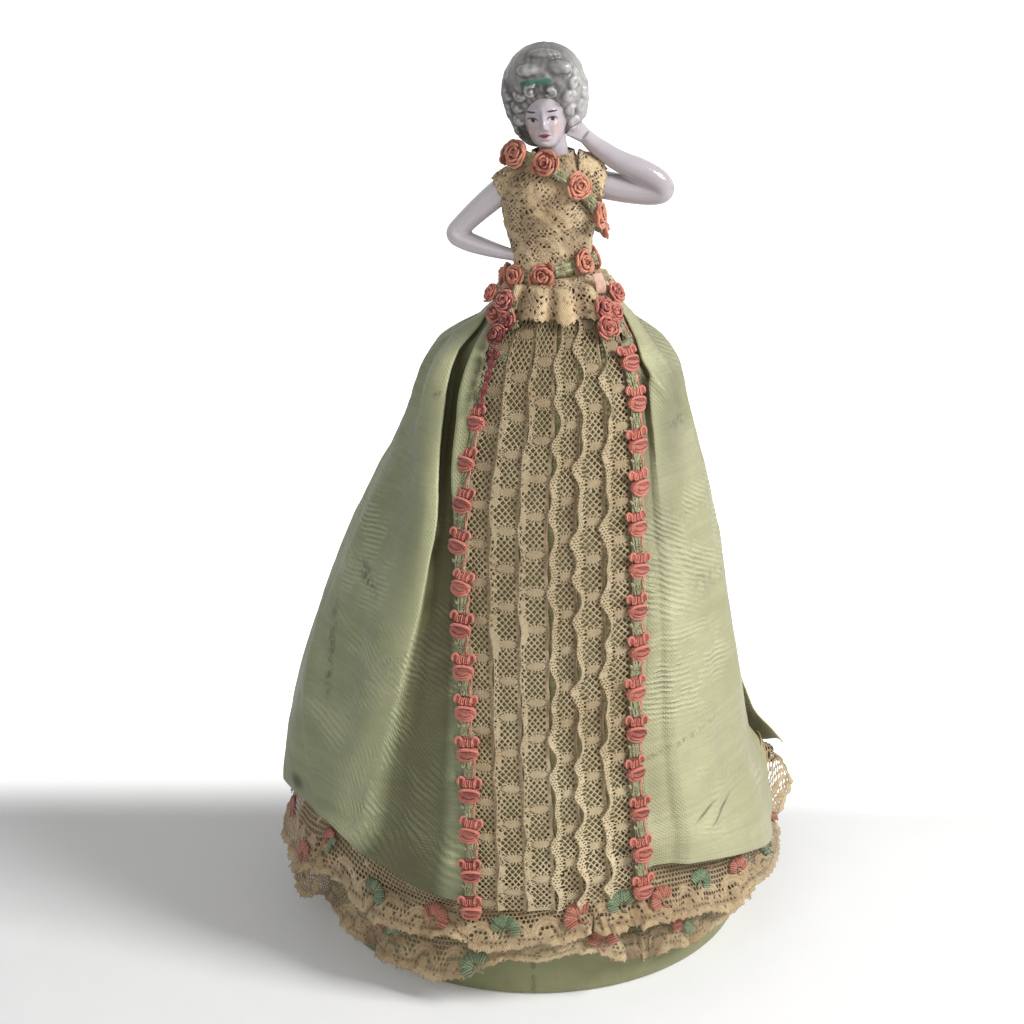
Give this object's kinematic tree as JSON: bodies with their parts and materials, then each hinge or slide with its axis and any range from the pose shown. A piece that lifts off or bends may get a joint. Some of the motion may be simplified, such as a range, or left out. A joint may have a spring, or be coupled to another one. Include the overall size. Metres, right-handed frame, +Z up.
{
  "type": "half doll",
  "caption": "Glazed porcelain half doll with one hand on the hip and one raised to the hair, sewn to a stuffed bell skirt of lace and pale green brocade on a round covered base.",
  "frame": {"origin": "centre of the flat underside of the round base", "axes": "+Z up through the figure, -Y towards the viewer in front of the lady, +X to her left"},
  "size_m": [0.188, 0.1832, 0.3206],
  "materials": {
    "porcelain": "glossy glazed porcelain, lavender white, with painted hair, band, eyes and lips",
    "brocade": "pale green silk brocade with a satin sheen and tone-on-tone ribs",
    "taffeta": "plain green silk taffeta, slightly slubbed",
    "lace": "ecru cotton net lace, open diamond ground",
    "hem_lace": "ecru net lace with pink and green embroidered flowers",
    "rose_braid": "coral silk ribbon roses with pale green leaves on a narrow tape",
    "ribbon": "peach silk ribbon",
    "stuffing": "packed cotton wadding",
    "thread": "linen sewing thread",
    "card": "grey millboard"
  },
  "bodies": {
    "root": {"base_cover": "taffeta", "bottom_cover": "taffeta", "base_board": "card", "base_pad": "stuffing", "porcelain_figure": "porcelain", "skirt_form": "stuffing", "stitch_front": "thread", "stitch_back": "thread", "underskirt": "taffeta", "lace_strip_1": "lace", "lace_strip_2": "lace", "lace_strip_3": "lace", "lace_strip_4": "lace", "lace_strip_5": "lace", "lace_strip_6": "lace", "overskirt_left": "brocade", "overskirt_right": "brocade", "overskirt_back": "brocade", "hem_lace_upper": "hem_lace", "hem_lace_lower": "hem_lace", "bodice_lace": "lace", "peplum_lace": "lace", "panel_braid_left": "rose_braid", "panel_braid_right": "rose_braid", "neck_braid": "rose_braid", "waist_braid": "rose_braid", "hip_roses_left": "rose_braid", "hip_roses_right": "rose_braid", "ribbon_end": "ribbon"}
  },
  "joints": []
}
